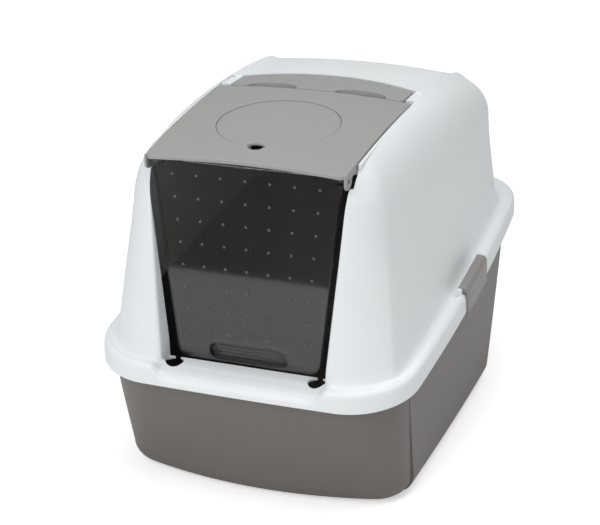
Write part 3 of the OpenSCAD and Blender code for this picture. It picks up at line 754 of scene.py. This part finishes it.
def make_hood():
    shell = build_hood()
    clean(shell, 0.000001)
    take(shell, [prism("cut", lid_outline(LID_GAP, -320, LID_BACK - 1), CUT_Z, 450),
                 prism("cut", recess_outline(0), CUT_Z, 450)])
    for side in (-1, 1):
        take(shell, clip_seats(side))
    add(shell, [recess_tray()])
    for side in (-1, 1):
        add(shell, [*lid_rails(side), *lugs(side), end_block(side)])
        take(shell, [cylinder("cut", 10.5, 10.5, (side * 84, -251, 130), (side * 84, -251, 175)),
                     rod(2.06, side * 30, side * 50, LID_AXIS_Y, LID_AXIS_Z),
                     rod(2.56, side * 105, side * 117.5, HANDLE_AXIS_Y, HANDLE_AXIS_Z)])
    return finish_piece(shell, "base", ["hood"])


# Lid: skin with a lip and flange, tabs for the door's pins, seat and basket for the filter

def lid_section(x, e):
    front = LID_FRONT + corner_cut(e, 9)
    back = LID_BACK - corner_cut(e, 3)
    drop = corner_cut(e, 1.2)
    rows = np.linspace(front + 4, back - 4, 26)
    top = [(front, -4.1, 0), (front, -1.1, 0), (front + 0.3, -0.35, 1), (front + 1.1, 0, 1)]
    top += [(y, 0, 1) for y in rows]
    top += [(back - 1.1, 0, 1), (back - 0.3, -0.35, 1), (back, -1.1, 0), (back, -2.3, 0), (back - 0.3, -2.6, 0)]
    under = [(y, -2.6, 0) for y in rows[::-1]]
    under += [(front + 3.2, -2.6, 0), (front + 2.6, -3.1, 0), (front + 2.6, -4.1, 0), (front + 2.2, -4.5, 0),
              (front + 0.4, -4.5, 0)]
    points = []
    for y, z, upper in top + under:
        px = x * lid_x(y) / LID_WF
        points.append((px, y, float(dome(px, y)) + min(z, -drop if upper or z > -drop else z)))
    return np.array(points)


def lid_flange(side):
    sections = []
    for y in np.linspace(LID_FRONT + 9, LID_BACK - 3, 30):
        a, b = lid_x(y) - 2.6, lid_x(y) - 0.01
        za, zb = float(dome(a, y)), float(dome(b, y))
        corners = [(a + 0.4, za - 9), (b - 0.4, zb - 9), (b, zb - 8.6), (b, zb - 1.3), (a, za - 1.3), (a, za - 8.6)]
        sections.append(np.array([(side * x, y, z) for x, z in corners]))
    return loft("part", sections)


def build_lid():
    columns = edge_columns(LID_WF, 26)
    body = loft("lid_shell", [lid_section(x, LID_WF - abs(x)) for x in columns])
    tab = rounded([(-245.3, 394.3), (-245.3, 377.2), (-227.7, 377.2), (-223, 396)], [1, 8.5, 8.5, 1], 8)
    for side in (-1, 1):
        edge = [(0.5, 0), (0, 0.5), (0, 2.1), (0.5, 2.6)]
        add(body, [lid_flange(side), slab("part", tab, across(side, LID_WF - 2.62), edge)])
        knuckle = [(LID_AXIS_Y - 3.8, LID_AXIS_Z), (LID_AXIS_Y + 3.8, LID_AXIS_Z),
                   (LID_AXIS_Y + 3.8, LID_AXIS_Z + 5.4), (LID_AXIS_Y - 3.8, LID_AXIS_Z + 5.4)]
        add(body, [rod(3.8, side * 43.1, side * 48.1, LID_AXIS_Y, LID_AXIS_Z),
                   slab("part", np.array(knuckle), across(side, 43.1), [(0, 0), (0, 5)]),
                   rod(2.0, side * 37.1, side * 44.1, LID_AXIS_Y, LID_AXIS_Z)])
    add(body, [cover_cylinder(COVER_R - 3, -19, -3), cover_cylinder(COVER_R + 3, -7, -2.4)])
    take(body, [cover_cylinder(COVER_R + COVER_GAP, -3.4, 20), cover_cylinder(COVER_R - 5.4, -17, 2),
                cover_cylinder(9, -12, 0, 0, -COVER_R + 1)])
    for row in range(-3, 4):
        length = 2 * math.sqrt((COVER_R - 12) ** 2 - (row * 14) ** 2)
        vent = stadium(length, 7) + [0, row * 14]
        take(body, [slab("cut", vent, on_cover, [(0, -20), (0, -15)])])
    for side in (-1, 1):
        take(body, [rod(2.56, side * 105, side * 120, DOOR_AXIS_Y, DOOR_AXIS_Z)])
    return finish_piece(body, "lid", ["lid"])


def sag(r):
    return math.sqrt(ROOF_R ** 2 - r * r) - ROOF_R


def lathe(name, profile, n=96):
    """Turned about the filter's axis: pairs of radius and height, from the axis below to the axis above."""
    g = 2 * math.pi * np.arange(n) / n
    rings = [on_cover(np.stack([r * np.cos(g), r * np.sin(g)], 1), h) for r, h in profile[1:-1]]
    low = tuple(COVER_MATRIX @ Vector((0, 0, profile[0][1])))
    high = tuple(COVER_MATRIX @ Vector((0, 0, profile[-1][1])))
    return stack(name, rings, low, high)


def build_cover():
    r = COVER_R
    profile = [(0, -3.4), (25, -3.4), (50, -3.4), (r - 0.7, -3.4), (r, -2.9), (r, sag(r) - 0.9)]
    profile += [(r - 0.3, sag(r) - 0.3), (r - 1.0, sag(r))]
    profile += [(q, sag(q)) for q in np.linspace(r - 4, 6, 12)] + [(0, 0)]
    cover = lathe("filter_cover_shell", profile)
    take(cover, [cover_cylinder(12, -10, 10, 0, -r - 4.6)])
    return finish_piece(cover, "cover", ["filter_cover"])


def build_felt():
    r = COVER_R - 6.6
    profile = [(0, -16.6), (20, -16.6), (40, -16.6), (r - 1.6, -16.6), (r - 0.5, -16.1), (r, -15)]
    profile += [(r, -11.4), (r - 0.5, -10.3), (r - 1.6, -9.8)]
    profile += [(q, -9.8 + 0.35 * math.cos(q * 0.31)) for q in np.linspace(r - 4, 5, 14)] + [(0, -9.6)]
    return finish_piece(lathe("filter_felt_disc", profile, 72), "lid", ["carbon_filter"], 60)


# Door: smoked plate with a rim, moulded dots, a grip cup with ribs, and pins

def door_x(z):
    return DOOR_LOW + (DOOR_HIGH - DOOR_LOW) * (z - DOOR_FOOT) / (DOOR_TOP - DOOR_FOOT)


def build_door():
    low, shelf = DOOR_LOW, DOOR_TOP - 9.5
    high, notch = door_x(shelf), DOOR_HIGH - 7.4
    half = [(low, DOOR_FOOT), (high, shelf), (notch, shelf), (notch, DOOR_TOP)]
    outline = [(-low, DOOR_FOOT)] + half + [(-x, z) for x, z in half[:0:-1]]
    outline = rounded(outline, [13, 13, 2.5, 2.5, 1.2, 1.2, 2.5, 2.5])
    profile = [(0.8, 0), (0.25, 0.2), (0, 0.8), (0, 6.6), (0.4, 7), (1.5, 7), (1.8, 6.7), (1.8, 2.4)]
    door = slab("door_pane", outline, on_door, profile)
    grip = stadium(91, 18) + [0, GRIP_Z]
    cup = stadium(94.6, 21.6) + [0, GRIP_Z]
    take(door, [slab("cut", grip, on_door, [(-0.6, -3), (-0.6, 12)])])
    add(door, [slab("part", cup, on_door, [(1.5, 10), (0.4, 9.6), (0, 8.6), (0, -0.2), (0.5, -0.8), (1.3, -0.8),
                                           (1.8, -0.2), (2.0, 7.0), (3.2, 8.2)])])
    for k in (-1, 0, 1):
        add(door, [slab("part", stadium(77, 1.7) + [0, GRIP_Z + 4.4 * k], on_door,
                        [(0, 8.6), (0, 5.4), (0.4, 5.0)])])
    for side in (-1, 1):
        add(door, [rod(4, side * (notch - 6), side * notch, DOOR_AXIS_Y, DOOR_AXIS_Z),
                   rod(2.5, side * (notch - 4), side * (notch + 12), DOOR_AXIS_Y, DOOR_AXIS_Z)])
    dots = []
    pitch = (DOOR_TOP - DOOR_FOOT) / 8.9
    ring = stadium(3.4, 3.399, 7)
    for row in range(8):
        z = DOOR_TOP - pitch * (row + 0.615)
        for col in range(-3, 4):
            if z - GRIP_Z > 18:
                place = ring + [col * door_x(z) * 0.261, z]
                dots.append(slab("part", place, on_door, [(0, 0.1), (0, -0.15), (0.35, -0.55), (0.9, -0.78)]))
    beads = join("door_dots", dots)
    return (finish_piece(door, "door", ["door"], 12),
            finish_piece(beads, "door", ["door"], 50))


# Handle: a crescent with two finger gaps

def handle_section(x, e):
    cy, r = arch_circle(0)
    gap = abs(abs(x) - 54.0)
    front = HANDLE_FRONT + (0.55 * math.sqrt(max(30.0 ** 2 - gap * gap, 0)) if gap < 30 else 0)
    front += corner_cut(e, 4)
    back = cy + math.sqrt((r - LID_GAP - 1.6) ** 2 - x * x) - corner_cut(e, 5)
    drop = corner_cut(e, 1.2)
    floor_z = -3.0 if e > 3.5 else -7.0
    rows = np.linspace(front + 3.6, back - 3.6, 12)
    top = [(front, -6.6), (front, -1.1 - drop), (front + 0.3, -0.35 - drop), (front + 1.1, -drop)]
    top += [(y, -drop) for y in rows]
    top += [(back - 1.1, -drop), (back - 0.3, -0.35 - drop), (back, -1.1 - drop), (back, -6.6), (back - 0.4, -7)]
    top += [(back - 2.8, -7), (back - 3.0, floor_z)]
    top += [(y, floor_z) for y in rows[::-1][1:-1]]
    top += [(front + 3.0, floor_z), (front + 2.8, -7), (front + 0.4, -7)]
    return np.array([(x, y, float(dome(x, y)) + z) for y, z in top])


def build_handle():
    half = 105.5
    xs = edge_columns(half, 44)
    handle = loft("handle_shell", [handle_section(x, half - abs(x)) for x in xs])
    for side in (-1, 1):
        add(handle, [rod(4.4, side * 99.5, side * 105.5, HANDLE_AXIS_Y, HANDLE_AXIS_Z),
                     rod(2.5, side * 102, side * 112.5, HANDLE_AXIS_Y, HANDLE_AXIS_Z)])
    return finish_piece(handle, "handle", ["handle"])


# Side clips

def build_clip(name, side):
    up = 27.2
    points = [(180.3, up), (183.5, up - 3.2), (190.8, up - 2), (190.8, 2.7), (186.6, 2.7), (187.6, 0), (190.8, -1),
              (191.2, -3.5), (194.2, -3.5), (194.2, up - 1), (191, up + 3.2), (183.5, up + 3.2), (181.2, up + 2.3)]
    radii = [1.8, 1.6, 0.8, 0.6, 0.6, 0.6, 0.5, 0.8, 0.8, 3.5, 2.5, 1.2, 1.2]
    outline = rounded(points, radii, 5)
    profile = [(0.7, -42), (0.2, -41.8), (0, -41.3), (0, -20), (0, 0), (0, 20), (0, 41.3), (0.2, 41.8), (0.7, 42)]
    clip = slab(name + "_body", outline, on_rim(side), profile)
    pin = rounded([(182, up - 1.5), (185, up - 1.5), (185, up + 1.5), (182, up + 1.5)], [1.5] * 4)
    add(clip, [slab("part", pin, on_rim(side), [(0, -46.5), (0, 46.5)])])
    return finish_piece(clip, name, [name])


hood = make_hood()
pan = finish_piece(build_pan(), "base", ["pan"])
lid = build_lid()
cover = build_cover()
felt = build_felt()
door, beads = build_door()
handle = build_handle()
clips = [build_clip("clip_right", 1), build_clip("clip_left", -1)]


# Materials

def plastic(name, colour, roughness, grain, specular=0.5):
    m = bpy.data.materials.new(name)
    m.use_nodes = True
    nodes, links = m.node_tree.nodes, m.node_tree.links
    shader = nodes["Principled BSDF"]
    shader.inputs["Specular IOR Level"].default_value = specular
    where = nodes.new("ShaderNodeTexCoord")
    cloud = nodes.new("ShaderNodeTexNoise")
    cloud.inputs["Scale"].default_value = 9
    cloud.inputs["Detail"].default_value = 3
    links.new(where.outputs["Object"], cloud.inputs["Vector"])
    tint = nodes.new("ShaderNodeMix")
    tint.data_type = "RGBA"
    tint.inputs["A"].default_value = (*[c * 0.97 for c in colour], 1)
    tint.inputs["B"].default_value = (*[min(c * 1.03, 1) for c in colour], 1)
    links.new(cloud.outputs["Fac"], tint.inputs["Factor"])
    links.new(tint.outputs["Result"], shader.inputs["Base Color"])
    fine = nodes.new("ShaderNodeTexNoise")
    fine.inputs["Scale"].default_value = 900
    fine.inputs["Detail"].default_value = 2
    links.new(where.outputs["Object"], fine.inputs["Vector"])
    rough = nodes.new("ShaderNodeMapRange")
    rough.inputs["To Min"].default_value = roughness * 0.88
    rough.inputs["To Max"].default_value = roughness * 1.12
    links.new(fine.outputs["Fac"], rough.inputs["Value"])
    links.new(rough.outputs["Result"], shader.inputs["Roughness"])
    bump = nodes.new("ShaderNodeBump")
    bump.inputs["Strength"].default_value = grain
    bump.inputs["Distance"].default_value = 0.0002
    links.new(fine.outputs["Fac"], bump.inputs["Height"])
    links.new(bump.outputs["Normal"], shader.inputs["Normal"])
    return m


def linear(r, g, b):
    return tuple(((c / 255 + 0.055) / 1.055) ** 2.4 for c in (r, g, b))


PAN = plastic("pan_plastic", linear(112, 107, 104), 0.42, 0.15)
LID = plastic("lid_plastic", linear(163, 163, 162), 0.45, 0.12)
CLIP = plastic("clip_plastic", linear(148, 145, 142), 0.42, 0.12)
HOOD = plastic("hood_plastic", linear(240, 244, 246), 0.4, 0.1)
FELT = plastic("filter_felt", (0.02, 0.02, 0.02), 0.9, 0.6)
DOOR = plastic("door_plastic", (0.036, 0.032, 0.029), 0.05, 0.0)
DOOR.node_tree.nodes["Principled BSDF"].inputs["Alpha"].default_value = 0.36
DOOR.node_tree.nodes["Principled BSDF"].inputs["IOR"].default_value = 2.3
# The door's dots are raised bumps of the smoked door; their lighter opaque grey is painted highlight, standing in
# for the glint each bump catches.
DOT_PAINTED_HIGHLIGHT = plastic("door_dot_painted_highlight", linear(98, 94, 90), 0.2, 0.02)


def wear(obj, m):
    obj.data.materials.clear()
    obj.data.materials.append(m)


wear(hood, HOOD)
wear(pan, PAN)
for piece, m in ((lid, LID), (cover, LID), (handle, LID), (door, DOOR), (beads, DOT_PAINTED_HIGHLIGHT), (felt, FELT),
                 (clips[0], CLIP), (clips[1], CLIP)):
    wear(piece, m)

# Camera, at the photograph's angle

AZ, EL = math.radians(19.8), math.radians(22.36)
back = Vector((math.sin(AZ) * math.cos(EL), -math.cos(AZ) * math.cos(EL), math.sin(EL)))
right = Vector((math.cos(AZ), math.sin(AZ), 0))
up = back.cross(right)
camera = bpy.data.objects.new("camera", bpy.data.cameras.new("camera"))
bpy.context.scene.collection.objects.link(camera)
camera.matrix_world = Matrix((
    (right.x, up.x, back.x, 0), (right.y, up.y, back.y, 0), (right.z, up.z, back.z, 0), (0, 0, 0, 1)))
camera.location = Vector((0, 0, 0.150)) + back * 2.00713
camera.data.sensor_width = 36
camera.data.lens = 98.211
camera.data.shift_x = -0.0380
camera.data.shift_y = 0.0594
camera.data.clip_start = 0.05
bpy.context.scene.camera = camera

# Floor, world and lamps

floor = bpy.data.objects.new("floor", bpy.data.meshes.new("floor"))
floor.data.from_pydata([(-30, -30, 0), (30, -30, 0), (30, 30, 0), (-30, 30, 0)], [], [(0, 1, 2, 3)])
bpy.context.scene.collection.objects.link(floor)
paper = bpy.data.materials.new("paper")
paper.use_nodes = True
paper.node_tree.nodes["Principled BSDF"].inputs["Base Color"].default_value = (0.97, 0.97, 0.97, 1)
paper.node_tree.nodes["Principled BSDF"].inputs["Roughness"].default_value = 0.9
paper.node_tree.nodes["Principled BSDF"].inputs["Specular IOR Level"].default_value = 0.1
paper_nodes, paper_links = paper.node_tree.nodes, paper.node_tree.links
floor_path = paper_nodes.new("ShaderNodeLightPath")
glow = paper_nodes.new("ShaderNodeMath")
glow.operation = "MULTIPLY"
floor_place = paper_nodes.new("ShaderNodeTexCoord")
floor_reach = paper_nodes.new("ShaderNodeVectorMath")
floor_reach.operation = "LENGTH"
paper_links.new(floor_place.outputs["Object"], floor_reach.inputs[0])
fade = paper_nodes.new("ShaderNodeMapRange")
for socket, value in (("From Min", 0.7), ("From Max", 2.6), ("To Min", 0.5), ("To Max", 0.9)):
    fade.inputs[socket].default_value = value
paper_links.new(floor_reach.outputs["Value"], fade.inputs["Value"])
paper_links.new(fade.outputs["Result"], glow.inputs[1])
paper_links.new(floor_path.outputs["Is Camera Ray"], glow.inputs[0])
paper.node_tree.nodes["Principled BSDF"].inputs["Emission Color"].default_value = (1, 1, 1, 1)
paper_links.new(glow.outputs["Value"], paper.node_tree.nodes["Principled BSDF"].inputs["Emission Strength"])
wear(floor, paper)

# The dark room beyond the table's edge, which only the smoked door mirrors

card = bpy.data.objects.new("room_card", bpy.data.meshes.new("room_card"))
card.data.from_pydata([(-8, -9, 0.001), (8, -9, 0.001), (8, -0.86, 0.001), (-8, -0.86, 0.001)], [], [(0, 1, 2, 3)])
bpy.context.scene.collection.objects.link(card)
for ray in ("camera", "diffuse", "transmission", "shadow", "volume_scatter"):
    setattr(card, "visible_" + ray, False)
dark = bpy.data.materials.new("room_dark")
dark.use_nodes = True
dark.node_tree.nodes["Principled BSDF"].inputs["Base Color"].default_value = (0.02, 0.02, 0.02, 1)
wear(card, dark)

world = bpy.data.worlds.new("world")
world.use_nodes = True
bpy.context.scene.world = world
w_nodes, w_links = world.node_tree.nodes, world.node_tree.links
sky = w_nodes["Background"]
sky.inputs["Color"].default_value = (1, 1, 1, 1)
sky.inputs["Strength"].default_value = 0.34
seen = w_nodes.new("ShaderNodeBackground")
seen.inputs["Color"].default_value = (1, 1, 1, 1)
seen.inputs["Strength"].default_value = 1.0
path = w_nodes.new("ShaderNodeLightPath")
mix = w_nodes.new("ShaderNodeMixShader")
w_links.new(path.outputs["Is Camera Ray"], mix.inputs["Fac"])
w_links.new(sky.outputs["Background"], mix.inputs[1])
w_links.new(seen.outputs["Background"], mix.inputs[2])
w_links.new(mix.outputs["Shader"], w_nodes["World Output"].inputs["Surface"])


def lamp(name, place, aim, size, power):
    data = bpy.data.lights.new(name, "AREA")
    data.shape = "RECTANGLE"
    data.size, data.size_y = size
    data.energy = power
    obj = bpy.data.objects.new(name, data)
    obj.location = place
    obj.rotation_euler = (Vector(aim) - Vector(place)).to_track_quat("-Z", "Y").to_euler()
    bpy.context.scene.collection.objects.link(obj)


lamp("key", (-0.5, -2.4, 1.8), (0, 0, 0.2), (1.4, 1.4), 28)
lamp("top", (0.5, -0.2, 2.6), (0, 0, 0.3), (2.0, 2.0), 30)

bpy.context.scene.view_settings.view_transform = "Standard"
